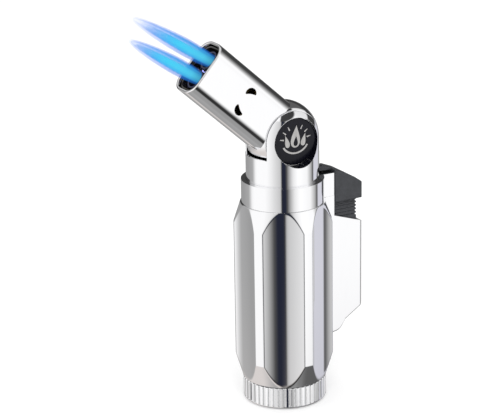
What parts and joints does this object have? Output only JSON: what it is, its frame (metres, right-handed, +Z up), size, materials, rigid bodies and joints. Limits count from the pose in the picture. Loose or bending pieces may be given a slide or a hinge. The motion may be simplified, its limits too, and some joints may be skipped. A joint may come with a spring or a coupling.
{
  "type": "butane torch lighter",
  "caption": "Pocket twin-jet butane torch: fluted chromed body, knurled foot ring, thumb trigger and a nozzle head that tilts on a ball-like knuckle.",
  "frame": {"origin": "middle of the foot ring's resting face, on the body's axis", "axes": "+Z up along the body, the nozzle head leans towards -X, the trigger is on +X, the pivot runs along Y"},
  "size_m": [0.0593, 0.03, 0.1146],
  "materials": {
    "chrome": "bright mirror-polished plating",
    "black_plastic": "fine-grained moulded black",
    "badge_enamel": "glossy black with a raised silver emblem",
    "dark_steel": "heat-darkened",
    "heat_steel": "heat-tinted",
    "steel": "plain",
    "brass": "machined",
    "grey_plastic": "moulded",
    "tank_plastic": "smoky moulded",
    "pale_plastic": "moulded",
    "black_rubber": "matt",
    "red_sleeve": "extruded insulation"
  },
  "bodies": {
    "torch_body": {"body_shell": "chrome", "collar": "chrome", "neck_yoke": "chrome", "bulkhead": "grey_plastic", "bulkhead_screws": "steel", "base_plate": "grey_plastic", "fuel_tank": "tank_plastic", "tank_cap": "grey_plastic", "tank_seal": "black_rubber", "filler_valve": "brass", "filler_seal": "black_rubber", "filler_spring": "steel", "outlet_valve": "brass", "valve_spring": "steel", "lever_bracket": "grey_plastic", "lever_pin": "steel", "piezo_body": "pale_plastic", "trigger_spring": "steel", "pivot_pins": "steel", "friction_washers": "steel", "left_badge": "badge_enamel", "right_badge": "badge_enamel", "gas_hose": "black_rubber", "igniter_wire": "red_sleeve"},
    "adjuster": {"adjuster_ring": "chrome", "adjuster_clip": "steel", "regulator_sleeve": "brass"},
    "trigger_slide": {"trigger": "black_plastic", "piezo_plunger": "pale_plastic"},
    "lever": {"valve_lever": "steel"},
    "stem": {"valve_stem": "steel"},
    "poppet": {"filler_poppet": "brass"},
    "head": {"head_shell": "chrome", "nozzle_insert": "dark_steel", "upper_burner": "heat_steel", "lower_burner": "heat_steel", "mixer_block": "brass", "electrode": "steel", "electrode_insulator": "pale_plastic"}
  },
  "joints": [
    {"name": "head_tilt", "type": "hinge", "parent": "torch_body", "child": "head", "pos_m": [0, 0, 0.0833], "axis": [0, -1, 0], "range_deg": [-48, 18], "deforming": ["gas_hose", "igniter_wire"]},
    {"name": "trigger_press", "type": "slide", "parent": "torch_body", "child": "trigger_slide", "axis": [0, 0, -1], "range_m": [0, 0.0039], "stiffness_N_per_m": 1500, "springref_m": -0.002, "deforming": ["trigger_spring"]},
    {"name": "lever_turn", "type": "hinge", "parent": "torch_body", "child": "lever", "pos_m": [0, 0, 0.054], "axis": [0, 1, 0], "range_deg": [0, 27.4]},
    {"name": "stem_lift", "type": "slide", "parent": "torch_body", "child": "stem", "axis": [0, 0, 1], "range_m": [0, 0.002], "deforming": ["valve_spring"]},
    {"name": "filler_press", "type": "slide", "parent": "torch_body", "child": "poppet", "axis": [0, 0, 1], "range_m": [0, 0.0015], "stiffness_N_per_m": 1200, "springref_m": -0.001, "deforming": ["filler_spring"]},
    {"name": "flame_adjust", "type": "hinge", "parent": "torch_body", "child": "adjuster", "pos_m": [0, 0, 0], "axis": [0, 0, 1], "range_deg": [-120, 120]}
  ],
  "couplings": [
    {"joint": "lever_turn", "follows": "trigger_press", "rad_per_m": 122.2},
    {"joint": "stem_lift", "follows": "trigger_press", "ratio": 0.4889}
  ]
}
